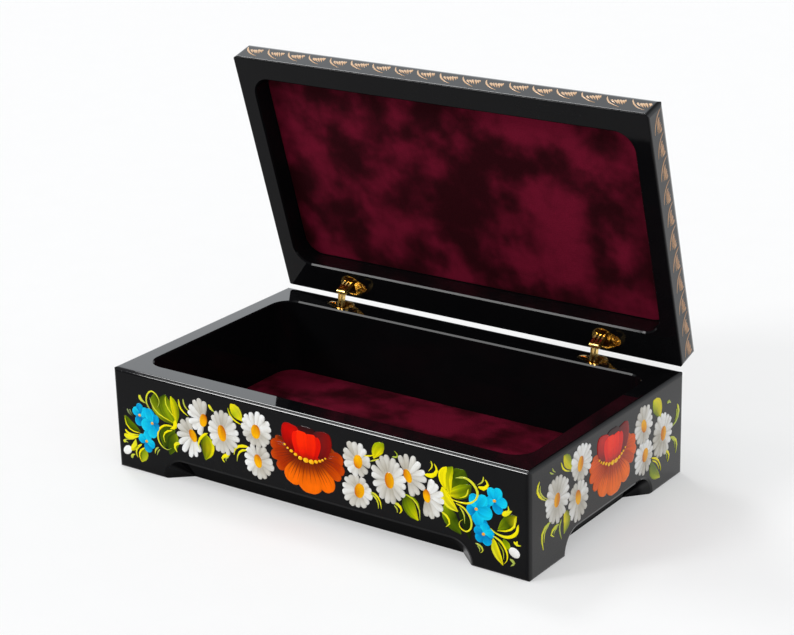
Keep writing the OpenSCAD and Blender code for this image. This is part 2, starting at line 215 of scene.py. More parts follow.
# Faces that look down take the lacquer with the painted shade.
looks_down = lacquer.step(along(lacquer, "Normal", 2), -0.55, -0.35, 1.0, 0.0)
lacquer_look = lacquer.done(lacquer.mix(looks_down * 0.94, polished, dull_and_shaded))


def coat(look, *names):
    """Gives CAD nodes their finish."""
    for name in names:
        slots = frame["nodes"][name].data.materials
        slots.clear()
        slots.append(look)


for side in ("front", "back", "left", "right"):
    coat(lacquer_look, f"{side}_board", f"lid_{side}_rail")
coat(lacquer_look, "lid_top_panel")

# Floor of the box: a plywood panel slid into a groove of the boards, seen only from below. Its sheets
# of birch veneer are brushed with clear varnish.
plywood = Finish("varnished_birch")
spot = plywood.place((1, 14, 1))
grain = plywood.cloud(spot, 60, 5, 0.6, 0.6)
pores = plywood.step(plywood.cloud(spot, 420, 2), 0.56, 0.66)
veneer = plywood.blend(grain, (0.62, 0.42, 0.22), (0.46, 0.28, 0.13))
coat(plywood.done(plywood.shader({
    "Base Color": plywood.blend(pores * 0.5, veneer, (0.24, 0.13, 0.06)),
    "Roughness": plywood.step(grain, 0.3, 0.7, 0.34, 0.5),
    "Normal": plywood.relief(grain - pores * 0.6, 0.00008),
})), "bottom_panel")

# Cards behind the linings: stiff grey board, cut to the openings and glued to the wood. Only their
# edges could show, in the gap round the velvet.
card = Finish("grey_board")
fibre = card.cloud(card.place(), 1600, 4, 0.7)
coat(card.done(card.shader({
    "Base Color": card.blend(fibre, (0.2, 0.17, 0.16), (0.32, 0.29, 0.27)),
    "Roughness": card.step(fibre, 0.2, 0.8, 0.8, 0.95),
    "Normal": card.relief(fibre, 0.00006),
})), "floor_card", "lid_card")

# Linings: burgundy cotton velvet glued on the cards, cut a little smaller than the openings. The pile
# lies in patches, brushed flat and dark or standing and bright, and rolls over at the cut edge.
PILE_STEP, PILE_ROLL, PILE_SUNK, PILE_SWELL = 0.0022, 0.0007, 0.00012, 0.0001
CORNER_RADIUS = 0.0107
LID_OPEN = math.radians(74)

velvet = Finish("burgundy_velvet")
patches = velvet.cloud(velvet.place((1, 1.2, 1)), 34, 3, 0.5, 0.1)
spot = velvet.place()
swirls = velvet.cloud(spot, 95, 3, 0.6)
pile = velvet.cloud(spot, 1500, 2, 0.6)
lying = velvet.step(velvet.step(patches, 0.24, 0.8) + swirls * 0.3 - 0.15, 0.1, 0.9)
nap = velvet.blend(lying, (0.024, 0.003, 0.005), (0.175, 0.0075, 0.027))
velvet_look = velvet.done(velvet.shader({
    "Base Color": velvet.blend(pile * 0.3, nap, (0.02, 0.002, 0.004)),
    "Roughness": velvet.step(pile, 0.2, 0.8, 0.85, 1.0),
    "Specular IOR Level": 0.02,
    "Sheen Weight": 0.1,
    "Sheen Roughness": 0.4,
    "Sheen Tint": (0.8, 0.03, 0.12, 1),
    "Normal": velvet.relief(pile * 0.7 + swirls * 0.5, 0.00035),
}))

hinge_axis = Vector(next(j["pos_m"] for j in frame["joints"] if j["name"] == "lid_hinge"))
lid_opened = (Matrix.Translation(hinge_axis) @ Matrix.Rotation(-LID_OPEN, 4, "X")
              @ Matrix.Translation(-hinge_axis))


def closed_corners(name):
    """Lowest and highest corner that a piece of the lid would have with the lid closed."""
    closed = lid_opened.inverted()
    at = np.array([closed @ v.co for v in frame["nodes"][name].data.vertices])
    return at.min(0), at.max(0)


def flat_grid(across, along, size=2):
    """A flat square grid, selected alone."""
    bpy.ops.object.select_all(action="DESELECT")
    bpy.ops.mesh.primitive_grid_add(x_subdivisions=across, y_subdivisions=along, size=size)
    return bpy.context.object


def close_below(thick=0):
    """Turns the rim of a sheet down where it is thick, and closes the sheet from below."""
    bpy.ops.object.mode_set(mode="EDIT")
    bpy.ops.mesh.select_all(action="SELECT")
    bpy.ops.mesh.region_to_loop()
    if thick:
        bpy.ops.mesh.extrude_region_move(TRANSFORM_OT_translate={"value": (0, 0, -thick)})
        bpy.ops.transform.resize(value=(1, 1, 0), center_override=(0, 0, 0))
    bpy.ops.mesh.edge_face_add()
    bpy.ops.mesh.select_all(action="SELECT")
    bpy.ops.mesh.normals_make_consistent(inside=False)
    bpy.ops.object.mode_set(mode="OBJECT")


def lining(name, low, high, faces_up, body, place=Matrix.Identity(4)):
    """Cuts one velvet sheet with round corners and rolls its edge over."""
    half = [(high[i] - low[i]) / 2 for i in (0, 1)]
    inner = [h - CORNER_RADIUS for h in half]
    cloth = flat_grid(*(round(2 * h / PILE_STEP) for h in half))
    cloth.name = cloth.data.name = name
    rng = random.Random(len(name))
    waves = [(rng.uniform(20, 60), rng.uniform(20, 60), rng.uniform(0, 6)) for _ in range(6)]
    thick = high[2] - low[2]
    for v in cloth.data.vertices:
        x, y = v.co.x * half[0], v.co.y * half[1]
        dx, dy = abs(x) - inner[0], abs(y) - inner[1]
        if dx > 0 and dy > 0:
            x = math.copysign(inner[0] + dx * math.sqrt(1 - (dy / CORNER_RADIUS) ** 2 / 2), x)
            y = math.copysign(inner[1] + dy * math.sqrt(1 - (dx / CORNER_RADIUS) ** 2 / 2), y)
        swell = sum(math.sin(a * x * 2 + p) * math.sin(b * y * 2 + p) for a, b, p in waves) / 6
        v.co = (x, y, thick - PILE_SUNK + PILE_SWELL * swell)
    close_below(thick)
    rolled = cloth.modifiers.new("rolled_edge", "BEVEL")
    rolled.width, rolled.segments, rolled.limit_method = PILE_ROLL, 3, "ANGLE"
    bpy.ops.object.modifier_apply(modifier=rolled.name)
    flip = Matrix.Rotation(0 if faces_up else math.pi, 4, "X")
    seat = Vector(((low[0] + high[0]) / 2, (low[1] + high[1]) / 2, low[2] if faces_up else high[2]))
    cloth.data.transform(place @ Matrix.Translation(seat) @ flip)
    bpy.ops.object.shade_smooth_by_angle(angle=math.radians(50))
    cloth.data.materials.append(velvet_look)
    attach(cloth, body)
    area = 4 * half[0] * half[1] - (4 - math.pi) * CORNER_RADIUS ** 2
    return cloth, (2 * half[0], 2 * half[1]), area


low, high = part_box("floor_velvet")
floor_lining, cut, area = lining("floor_lining", low, high, True, "box")
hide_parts("floor_velvet")
low, high = closed_corners("lid_velvet")
lid_lining, cut, area = lining("lid_lining", low, high, False, "lid", lid_opened)
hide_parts("lid_velvet")

# Hinges: turned and milled brass barrels pressed into bores of the back board and the back rail, each
# held by one screw through its ear, with stamped brass link plates on hard brass pins.
brass = Finish("polished_brass")
spot = brass.place()
tarnish = brass.cloud(spot, 260, 4, 0.6)
turned = brass.cloud(brass.place((1, 1, 30)), 900, 3, 0.6)
dented = brass.cloud(spot, 620, 2)
golden = brass.blend(brass.step(tarnish, 0.45, 0.75), (0.97, 0.67, 0.22), (0.74, 0.44, 0.11))
brass_look = brass.done(brass.shader({
    "Base Color": golden,
    "Metallic": 1.0,
    "Roughness": brass.step(tarnish, 0.3, 0.8, 0.12, 0.3) + turned * 0.06,
    "Normal": brass.relief(turned * 0.2 + dented, 0.00006),
}))
for hand in ("left", "right"):
    coat(brass_look, *(f"{hand}_{what}" for what in (
        "box_barrel", "lid_barrel", "lower_links", "upper_links", "knuckle_pin", "lower_tail_pin",
        "upper_tail_pin")))
coat(brass_look, "box_hinge_screws", "lid_hinge_screws")

# Flower bands: oil colour laid on the black lacquer with a soft brush, stroke by stroke, and sealed
# with clear lacquer. Each stroke is a low pad of paint that thins to nothing at its rim.
WHITE, CREAM, SHADE = (248, 249, 248), (226, 224, 217), (172, 165, 149)
AMBER, SUN, UMBER = (255, 160, 0), (255, 184, 4), (196, 92, 6)
MOSS, GREEN, LIME = (34, 54, 0), (92, 118, 0), (164, 182, 0)
LEMON, STRAW, SAGE = (250, 234, 6), (224, 224, 48), (176, 190, 84)
SKY, AZURE, OCEAN = (18, 210, 242), (0, 172, 226), (0, 124, 192)
SCARLET, CRIMSON = (255, 44, 0), (206, 6, 0)
ORANGE, BARK = (255, 112, 0), (100, 24, 2)
PETAL_WIDE = 4.2
# Depths of the paint in millimetres, from the lacquer up, and how finely a stroke is drawn.
PAINT_SUNK, PAINT_FIRST, PAINT_STEP, PAINT_UNEVEN = 0.05, 0.06, 0.04, 0.008
CURVE_STEPS, BRISTLES = 9, 17
# Width of each kind of stroke, from where the brush is set down to where it lifts.
WIDTHS = {
    "petal": ((0, .03, .1, .22, .4, .7, 1), (.2, .56, .86, 1, .97, .74, .36)),
    "comma": ((0, .04, .15, .35, .65, 1), (.2, .62, .95, 1, .55, .05)),
    "leaf": ((0, .15, .4, .7, 1), (.08, .62, 1, .78, .06)),
    "line": ((0, .08, .3, .6, 1), (.12, .7, 1, .8, .1)),
    "lobe": ((0, .03, .1, .2, .4, .7, 1), (.2, .5, .76, .92, 1, .72, .3)),
    "cup": ((0, .03, .09, .18, .4, .75, 1), (.3, .6, .84, .96, 1, .88, .6)),
    "oval": ((0, .038, .146, .309, .5, .691, .854, .962, 1),
             (.14, .42, .72, .925, 1, .925, .72, .42, .14)),
}

paint = Finish("oil_colour")
stroke_place = paint.node("ShaderNodeUVMap", {"uv_map": "stroke"})
bristle = paint.cloud(paint.stretched(stroke_place, (3.2, 0.3, 1)), 1.0, 3, 0.6)
daub = paint.cloud(paint.place(), 700, 2)
colour = paint.node("ShaderNodeAttribute", {"attribute_name": "paint"}, out="Color")
deeper = paint.blend(1.0, colour, (0.66, 0.62, 0.56), "MULTIPLY")
paint_look = paint.done(paint.shader({
    "Base Color": paint.blend(paint.step(bristle, 0.52, 0.78) * 0.6, colour, deeper),
    "Roughness": paint.step(daub, 0.3, 0.7, 0.28, 0.42),
    "Specular IOR Level": 0.03,
    "Coat Weight": polish(paint),
    "Coat Roughness": 0.015,
    "Normal": paint.relief(bristle * 0.7 + daub * 0.3, 0.00004),
}))


def paint_pad(across, along):
    """One closed pad of paint, 2 by 2, modelled once and laid along the path of every stroke."""
    pad = flat_grid(across, along)
    for v in pad.data.vertices:
        inside = abs(v.co.x) < 0.999 and abs(v.co.y) < 0.999
        v.co.z = 1 - 0.25 * v.co.x ** 2 if inside else 0
    close_below()
    x, y, high = np.array([v.co for v in pad.data.vertices]).T
    faces = [list(f.vertices) for f in pad.data.polygons]
    bpy.data.meshes.remove(pad.data)
    return np.sign(x) * np.sqrt(abs(x)), (1 - np.cos(np.pi * (y + 1) / 2)) / 2, high, faces


PADS = {"small": paint_pad(4, 8), "long": paint_pad(4, 28), "broad": paint_pad(16, 12)}


def linear(colour):
    """A colour written from 0 to 255, as light."""
    c = np.array(colour, float) / 255
    return np.where(c > 0.04045, ((c + 0.055) / 1.055) ** 2.4, c / 12.92)


class PaintedFace:
    """A face of the box or lid with its strokes, which are gathered by what they show."""

    def __init__(self, name, body, corner, along, up, place=None):
        self.name, self.body, self.place = name, body, place
        self.corner, self.along, self.up = Vector(corner), Vector(along), Vector(up)
        self.kinds, self.rng = {}, random.Random(name)
        self.draw_at()

    def draw_at(self, middle=(0, 0), turn=0, scale=1):
        """Moves, turns and scales what is drawn next."""
        a = math.radians(turn)
        self.turned = scale * np.array(((math.cos(a), -math.sin(a)), (math.sin(a), math.cos(a))))
        self.middle, self.scale = np.array(middle, float), scale

    def stroke(self, kind, path, wide, load, layer, shape="line", pad="small", streaks=0, rim=0):
        """Lays one stroke along a path in millimetres. A load is a list of colours from the start to
        the end, each plain or as a pair for the left and the right of the brush."""
        at = np.array(path, float) @ self.turned.T + self.middle
        ends = np.vstack([2 * at[0] - at[1], at, 2 * at[-1] - at[-2]])
        t = np.linspace(0, 1, CURVE_STEPS)[:, None]
        runs = []
        for a, b, c, d in zip(ends, ends[1:], ends[2:], ends[3:]):
            runs.append(b + (c - a) * t / 2 + (a - 2.5 * b + 2 * c - d / 2) * t ** 2
                        + (1.5 * b - a / 2 - 1.5 * c + d / 2) * t ** 3)
        line = np.vstack([runs[0][:1]] + [r[1:] for r in runs])
        gone = np.concatenate([[0], np.cumsum(np.linalg.norm(np.diff(line, axis=0), axis=1))])
        side, along, high, faces = PADS[pad]
        far = along * gone[-1]
        mid, ahead = (np.stack([np.interp(far, gone, way[:, i]) for i in (0, 1)], 1)
                      for way in (line, np.gradient(line, gone, axis=0)))
        ahead /= np.linalg.norm(ahead, axis=1)[:, None]
        half = wide * self.scale / 2 * np.interp(along, *WIDTHS[shape])
        flat = mid + np.stack([ahead[:, 1], -ahead[:, 0]], 1) * (side * half)[:, None]
        top = PAINT_FIRST + PAINT_STEP * layer + self.rng.uniform(0, PAINT_UNEVEN)
        rise = np.where(high > 0, high * top, -PAINT_SUNK)
        pairs = [s if isinstance(s[0], tuple) else (s, s) for s in load]
        pairs = np.array([[linear(c) for c in pair] for pair in (pairs if pairs[1:] else pairs * 2)])
        stops, share = np.linspace(0, 1, len(pairs)), (side[:, None] + 1) / 2
        left, right = (np.stack([np.interp(along, stops, pairs[:, hand, i]) for i in range(3)], 1)
                       for hand in (0, 1))
        colours = left * (1 - share) + right * share
        if streaks:
            edges = np.linspace(-1, 1, BRISTLES)
            weights = [self.rng.uniform(-streaks, streaks * 0.35) for _ in edges]
            colours = colours * (1 + np.interp(side, edges, weights) * (0.3 + 0.7 * along))[:, None]
        colours = colours * (1 - rim * side ** 4)[:, None]
        start = self.rng.uniform(0, 90)
        self.kinds.setdefault(kind, []).append((
            np.column_stack([flat, rise]), faces,
            np.column_stack([colours.clip(0, 1), np.ones(len(side))]),
            np.column_stack([side * half, far]) + start))

    def dry(self):
        """Makes one piece of all the strokes of each kind."""
        axes = np.array([self.along, self.up, self.along.cross(self.up)])
        for kind, strokes in self.kinds.items():
            at, pads, colours, uv = zip(*strokes)
            firsts = np.cumsum([0] + [len(a) for a in at]).tolist()
            faces = [[i + first for i in f] for first, pad in zip(firsts, pads) for f in pad]
            mesh = bpy.data.meshes.new(f"{self.name}_{kind}")
            placed = np.array(self.corner) + np.vstack(at) / 1000 @ axes
            mesh.from_pydata(placed.tolist(), [], faces)
            mesh.attributes.new("paint", "FLOAT_COLOR", "POINT").data.foreach_set(
                "color", np.vstack(colours).ravel())
            corners = np.zeros(len(mesh.loops), int)
            mesh.loops.foreach_get("vertex_index", corners)
            mesh.uv_layers.new(name="stroke").data.foreach_set("uv", np.vstack(uv)[corners].ravel())
            if self.place is not None:
                mesh.transform(self.place)
            mesh.shade_smooth()
            mesh.materials.append(paint_look)
            piece = bpy.data.objects.new(mesh.name, mesh)
            bpy.context.scene.collection.objects.link(piece)
            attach(piece, self.body)


def mixed(first, second, share):
    """Colour between two others."""
    return tuple(a + (b - a) * share for a, b in zip(first, second))


def daisy(face, disc, low, high, dark, brown, layer, tilt, size, first=0, last=360):
    """Daisy with its disc in one place and its petal tips on an oval between two corners. The petals
    fill the round from the first angle to the last, those near a dark angle lie in shade, and the
    disc turns brown towards an angle of its own."""
    middle, reach = (np.array(low) + high) / 2, (np.array(high) - low) / 2
    disc = np.array(disc, float)
    round_it = math.pi * (reach[0] + reach[1]) * (last - first) / 360
    count = round(round_it / (PETAL_WIDE * 1.02))
    full = last - first >= 360
    for i in sorted(range(count), key=lambda i: (i % 2, i)):
        angle = first + (last - first) * (i + 0.5 * full) / (count - (not full))
        a = math.radians(angle + face.rng.uniform(-3, 3))
        tip = middle + reach * (math.cos(a), math.sin(a)) * face.rng.uniform(0.93, 1.04)
        inward = (disc - tip) / np.linalg.norm(disc - tip)
        root = disc - inward * 0.5 * size[0] / 2
        bend = np.array((inward[1], -inward[0])) * face.rng.uniform(-0.3, 0.3)
        shade = max([0] + [math.cos(math.radians((angle - d + 180) % 360 - 180) / 1.1) for d in dark])
        shade = shade ** 1.5 * face.rng.uniform(0.7, 1)
        tone = [mixed(WHITE, SHADE, shade * k) for k in (0.6, 1)]
        edges = [mixed(t, SHADE, face.rng.uniform(0.12, 0.7)) for t in tone]
        pairs = [(tone[0], tone[0]), (tone[0], edges[0]), (tone[1], edges[1]), (CREAM, SHADE)]
        load = pairs if face.rng.random() < 0.6 else [pair[::-1] for pair in pairs]
        face.stroke("daisies", [tip, (tip + root) / 2 + bend, root],
                    PETAL_WIDE * face.rng.uniform(0.86, 1.08), load, layer + 0.35 * (i % 2), "petal",
                    rim=0.26)
    lean = math.radians(tilt)
    axis = np.array((math.sin(lean), math.cos(lean))) * size[1] * 0.46
    across, up = math.cos(math.radians(brown)), math.sin(math.radians(brown))
    face.stroke("daisies", [disc - axis, disc, disc + axis], size[0] * 0.92,
                [tuple(mixed(SUN, UMBER, max(0, hand * across + end * up) * 0.85) for hand in (-1, 1))
                 for end in (-1, -0.5, 0, 0.5, 1)], layer + 2, "oval", "broad", 0.2, 0.12)


def forget_me_not(face, eye, layer, *petals):
    """Round petals, each with its place, width and light, laid round a small orange eye."""
    eye = np.array(eye, float)
    for i, (x, y, wide, light) in enumerate(petals):
        tip = np.array((x, y), float)
        out = (tip - eye) / np.linalg.norm(tip - eye)
        shades = {2: (SKY, AZURE), 1: (AZURE, SKY), 0: (AZURE, OCEAN)}[light]
        face.stroke("forget_me_nots", [tip + out * wide * 0.42, tip, eye + out * 0.5], wide,
                    [shades[0], shades, shades[1]], layer + 0.3 * i, "oval", "broad", 0.3)
    face.stroke("forget_me_nots", [eye + (-0.9, -0.3), eye, eye + (0.9, 0.3)], 2.1,
                [AMBER, (226, 178, 80)], layer + 3, "oval")


def poppy(face, layer=2, fresh=0.0):
    """Poppy seen from the side, 47 wide, drawn about the middle of its bead row. A fresh one has a
    skirt that is bright all round."""
    side = mixed((178, 50, 0), (248, 100, 4), fresh)
    deep = mixed((120, 34, 0), (226, 86, 4), fresh)
    root_tone = mixed(BARK, (176, 50, 4), fresh)
    skirt = (
        ((-9, 3.4), (-20, 7.2), 4.6, deep), ((9, 3.4), (17.6, 6.8), 6.4, deep),
        ((-7, 2.8), (-23.2, 3), 7.6, side), ((8, 3), (22.8, 3), 8.6, side),
        ((-6, 2), (-23, -3.4), 7.4, side), ((7, 2), (23.2, -3), 8, side),
        ((-5, 1), (-19.2, -9.4), 7.6, side), ((6, 1), (20.8, -7.2), 7, (206, 72, 0)),
        ((4.8, -0.6), (14.4, -15.6), 11.4, ORANGE), ((-4.4, -0.6), (-11.4, -15.8), 12.6, ORANGE),
        ((0.4, -0.6), (1.4, -19.2), 16.6, ORANGE))
    for root, tip, wide, bright in skirt:
        broad = bright == ORANGE
        middle = ((tip[0] + root[0]) / 2 + 0.3, (tip[1] + root[1]) / 2 + 0.4)
        rim = bright if broad else mixed(bright, (232, 96, 6), 0.5)
        inner = mixed(bright, root_tone, 0.12 if broad else 0.2)
        inmost = mixed(bright, root_tone, 0.7)
        face.stroke("poppy", [tip, middle, root], wide, [rim, bright, inner, inmost, root_tone],
                    layer, "lobe", "broad", 0.26, 0.14)
        across = np.array((middle[1] - tip[1], tip[0] - middle[0])) / math.dist(tip, middle) * wide
        for k in (-0.34, -0.14, 0.06, 0.3) if broad else (-0.3, -0.06, 0.22):
            reach = face.rng.uniform(0.3, 0.85) if broad else face.rng.uniform(0.6, 0.95)
            end = np.array(middle) * (1 - reach) + np.array(tip) * reach
            vein = [root + across * k * 0.3, middle + across * k * 0.7, end + across * k * 0.86]
            face.stroke("poppy", vein, wide * 0.05 + 0.3,
                        [root_tone, inmost, mixed(bright, root_tone, 0.3)], layer + 0.8, "comma")
        layer += 0.25
    cups = (
        ([(0, 17.2), (0, 10), (0, 4)], 14, [(42, 14, 16), (84, 12, 12), (60, 8, 6)], 0, 0, 0),
        ([(8.8, 16.4), (9.6, 9.6), (6.6, 1.6)], 13,
         [((130, 12, 8), (70, 24, 26)), ((150, 14, 8), (84, 26, 28)), ((140, 12, 8), (84, 24, 26)),
          ((110, 10, 6), (64, 16, 16))], 0.2, 0.25, 0.1),
        ([(-8.4, 16.4), (-9.6, 9.8), (-6.6, 2.6)], 13,
         [((196, 6, 0), (180, 8, 0)), ((226, 10, 0), (190, 4, 0)), ((214, 10, 0), (160, 4, 0)),
          ((170, 10, 0), (120, 8, 0)), (120, 14, 4)], 0.3, 0.25, 0.08))
    for path, wide, load, more, streaks, rim in cups:
        face.stroke("poppy", path, wide, load, layer + more, "cup", "broad", streaks, rim)
    for top, low, wide, tone, more in (
            ((6.4, 12.9), (4.4, -0.2), 7.6, (226, 18, 0), 0.5),
            ((-5.6, 13.4), (-4, 0.2), 9.4, (244, 26, 0), 0.55),
            ((2.8, 13.8), (2, -0.9), 10.6, (248, 36, 0), 0.6),
            ((-2.8, 14.3), (-1.4, -0.7), 11.6, SCARLET, 0.65)):
        face.stroke("poppy", [top, (top[0] * 1.12, 8), low], wide,
                    [tone, tone, mixed(tone, CRIMSON, 0.1), mixed(tone, CRIMSON, 0.45), (160, 14, 0)],
                    layer + more, "cup", "broad", 0.12, 0.03)
    for x, y, wide in ((-13.7, 4.6, 1.3), (-11.9, 3, 1.3), (-9.7, 1.8, 1.9), (-7, 0.5, 2),
                       (-4.1, -0.8, 2.4), (-0.5, -1.2, 3.1), (2.9, -1.3, 2.9), (5.9, -0.6, 2.2),
                       (8.3, 0.3, 1.7), (10, 1.2, 1.4), (11.8, 2.5, 1.1)):
        wide *= 1.12
        face.stroke("poppy", [(x - wide / 2, y), (x, y), (x + wide / 2, y)], wide,
                    [(255, 214, 40), AMBER], layer + 3, "oval")


def broad_leaves(face, streaks, rows):
    """Leaves laid with a broad brush, each with its path, its width, its layer and its colours."""
    for path, wide, layer, *load in rows:
        face.stroke("leaves", path, wide, load, layer, "leaf", "broad", streaks)


def tendrils(face, layer, rows):
    """Thin pale curls. One with many bends has a pad with more faces along it."""
    for path, wide, *load in rows:
        face.stroke("tendrils", path, wide, load, layer, "line", "small" if len(path) < 5 else "long")


def blue_flowers(face, beds, flowers):
    """A dark bed of colour, and forget-me-nots on it."""
    for path, wide in beds:
        face.stroke("forget_me_nots", path, wide, [(AZURE, OCEAN), (OCEAN, AZURE)], 2, "oval",
                    "broad", 0.2)
    for flower in flowers:
        forget_me_not(face, *flower)


def daisies(face, flowers):
    """Daisies, the lower ones first."""
    for flower in flowers:
        daisy(face, *flower)


def front_band(face):
    """The long band, laid out from the left end of the board and from the floor."""
    small_leaves = (
        ([(9, 11.3), (12.3, 14.6), (13.3, 18.4)], 3.6, "leaf", LEMON, STRAW),
        ([(9.2, 11), (12.6, 13), (15.2, 14.8)], 2.6, "leaf", LEMON, GREEN),
        ([(20.4, 14), (18.6, 9.6), (16.6, 5.8)], 6, "leaf", (LIME, GREEN), (STRAW, GREEN)),
        ([(17.5, 16.3), (14, 13.4), (13, 10), (14.2, 7.6)], 1.6, "line", LEMON, STRAW),
        ([(19.4, 14.6), (16, 12), (15.2, 8.8), (16.8, 5.4)], 1.4, "line", LEMON),
        ([(4, 15.3), (6.5, 16.6), (9, 17.1)], 0.9, "comma", STRAW, SAGE),
        ([(4.4, 14.7), (6.3, 15.4), (7.8, 14.8)], 1.2, "comma", STRAW, SAGE),
        ([(9.4, 6.4), (10.2, 8.3), (12.3, 9.2)], 2, "comma", SAGE, STRAW),
        ([(6, 22.4), (9, 20.4), (17, 21.4)], 1.7, "comma", LEMON, STRAW),
        ([(5, 19.2), (9.5, 18.4), (16.8, 20.8)], 3.4, "comma", (LEMON, STRAW), LEMON),
        ([(7, 30.6), (10, 25.8), (17.2, 23.4)], 6.4, "leaf", (GREEN, MOSS)),
        ([(6.7, 30.8), (7.3, 26), (11, 22.9), (17.4, 22.4)], 1.5, "line", LIME, LEMON, LEMON),
        ([(8.5, 34.8), (10, 32.4), (12.6, 31.1)], 1.3, "comma", (150, 165, 110), MOSS),
        ([(10.3, 35), (11.3, 33), (13.3, 31.8)], 1, "comma", (150, 165, 110), MOSS),
        ([(18.2, 44.8), (18.4, 42.9), (20.2, 41.5), (22.6, 40.7)], 2.4, "comma", STRAW, SAGE),
        ([(4.2, 8.6), (6.9, 10.6), (9.7, 12.6)], 5.2, "oval", (WHITE, CREAM), WHITE))
    for path, wide, shape, *load in small_leaves:
        face.stroke("leaves", path, wide, load, 2, shape)
    broad_leaves(face, 0.6, (
        ([(29, 48.4), (31, 41), (40.5, 32.5)], 11, 0, (MOSS, GREEN), (MOSS, LIME), (GREEN, MOSS)),
        ([(36, 48.8), (36, 41), (42, 33)], 11, 0.6, (GREEN, MOSS), (LIME, GREEN), (GREEN, LIME)),
        ([(40, 48.6), (42.6, 42), (43, 33.5)], 6, 1.2, (LIME, LEMON), (GREEN, LEMON), (LIME, LEMON)),
        ([(41.8, 30.5), (35.5, 26), (33.5, 17.5)], 9.5, 0, (GREEN, MOSS), (MOSS, GREEN)),
        ([(42.5, 28), (39.5, 22), (37, 14.6)], 8.5, 0.6, (LIME, MOSS), (GREEN, MOSS), (GREEN, MOSS))))
    tendrils(face, 4, (
        ([(25.4, 45.2), (26.6, 41), (31, 36.6), (41, 33.8)], 1, SAGE, STRAW, LEMON),
        ([(36.6, 48), (36.3, 44), (39, 39.6), (43.6, 36.2)], 1, STRAW, STRAW, LEMON),
        ([(25.3, 37.6), (22.9, 41), (23.4, 45.6), (26.6, 48.6), (30.2, 47.2), (31.9, 43.6),
         (30, 39.6)], 1.1, SAGE, STRAW, STRAW, SAGE),
        ([(42.4, 35.6), (41.6, 31.4), (38.4, 29.8)], 3.2, LEMON),
        ([(41, 31.6), (34.6, 30.8), (30.4, 27.4), (29.4, 22.4), (31.6, 18.6), (35.6, 17.2),
         (38.6, 18.8)], 1.4, LEMON, LEMON, STRAW, SAGE),
        ([(40, 29.2), (35.8, 27.6), (33.4, 24.8), (34.3, 20.8)], 1.3, LEMON, LEMON, STRAW),
        ([(44.8, 22.8), (41.8, 22), (40.8, 20), (42.4, 17.2)], 2.4, STRAW, LEMON, STRAW),
        ([(29.4, 17.2), (27.2, 15.4), (26.6, 12.8)], 1.2, SAGE, STRAW),
        ([(30.2, 16.2), (28.8, 14.6), (28, 12.2)], 0.9, SAGE),
        ([(45.4, 48.2), (46, 44), (48.4, 41.4), (51.6, 39.8)], 1.3, STRAW, LEMON, STRAW),
        ([(48.6, 49), (49, 46), (50.6, 43.8), (53.2, 42.4)], 1.1, SAGE, STRAW),
        ([(65.8, 49.4), (67.4, 47.4), (69.6, 46)], 2, LEMON, SAGE),
        ([(78.7, 50.6), (80, 46.6), (83.4, 44), (88.2, 42.8)], 1.2, LIME, LEMON, LEMON),
        ([(64.2, 33), (60.4, 30.6), (57.4, 26), (58.6, 21.4)], 1.9, LEMON, LEMON, STRAW),
        ([(78.4, 24), (74.8, 22.6), (73.2, 20.8), (74.8, 19)], 2.4, LEMON, LEMON, STRAW),
        ([(77.6, 22.6), (75.8, 21.6), (75.8, 19.8)], 1, SAGE),
        ([(91.4, 31.4), (86, 30.8), (82.4, 28.6), (81.2, 24.6)], 1.9, LEMON, LEMON, STRAW),
        ([(91, 29.6), (86.6, 28.4), (84, 25.6), (83, 21.2)], 1.4, STRAW, LEMON, SAGE),
        ([(167, 25), (171, 24.2), (173.6, 21.4), (174.4, 17.2)], 1.3, SAGE, LEMON, STRAW),
        ([(168, 24), (170.8, 22.6), (172.4, 20), (172.6, 16.8)], 1.1, SAGE, STRAW, STRAW),
        ([(164.6, 43.6), (168.6, 44.4), (171.6, 46.2)], 0.9, LEMON),
        ([(168, 41.4), (171, 42.6), (174.6, 44.4)], 0.8, SAGE, LEMON),
        ([(181.6, 47), (184.6, 47.4), (184.6, 49.2), (183, 50.4)], 1.1, SAGE, LIME),
        ([(188, 29), (193.6, 27.4), (197, 23), (197.4, 16.6)], 1.2, LIME, STRAW, SAGE),
        ([(193, 28.6), (196, 26.2), (197.4, 23.6)], 1, GREEN, LIME),
        ([(181.6, 22.6), (185, 21.8), (186.6, 19.4), (185, 17.4)], 1.9, SAGE, LEMON, LEMON),
        ([(182.2, 21.2), (183.8, 19.6), (184, 17.6)], 0.9, SAGE, STRAW),
        ([(200.6, 42), (205.6, 42.6), (208, 46), (206.4, 49.2)], 2.7, LEMON),
        ([(204.6, 50.2), (205.2, 47.4), (203, 44.2)], 0.9, STRAW, LEMON),
        ([(231.4, 43), (234.8, 42.8), (237, 45.4), (235.4, 47.8)], 2.4, LEMON),
        ([(234.6, 49), (234, 46.2), (230.8, 43.6)], 0.9, STRAW, SAGE),
        ([(244.8, 31.6), (247.6, 33.2), (250.4, 35)], 3.2, LEMON, STRAW),
        ([(245.4, 32.4), (248.4, 34.4), (248.2, 37.2)], 1.6, LEMON, STRAW),
        ([(251.2, 19.4), (253.2, 17.9), (255.4, 18.2)], 1.6, LEMON, STRAW),
        ([(253.2, 20.2), (253, 18.8), (254, 17.6)], 1, LEMON, STRAW),
        ([(229.4, 13), (232.6, 12.2), (233.8, 10), (232.2, 8.6)], 1.3, SAGE, STRAW),
        ([(230.6, 12), (232, 10.6), (231.8, 9)], 0.8, SAGE),
        ([(249, 9.8), (251.4, 8), (249.4, 6)], 1.7, SAGE),
        ([(210.2, 24.8), (213.6, 22.8), (214.8, 19.6), (212.4, 17.2)], 1.6, STRAW, LEMON, STRAW)))
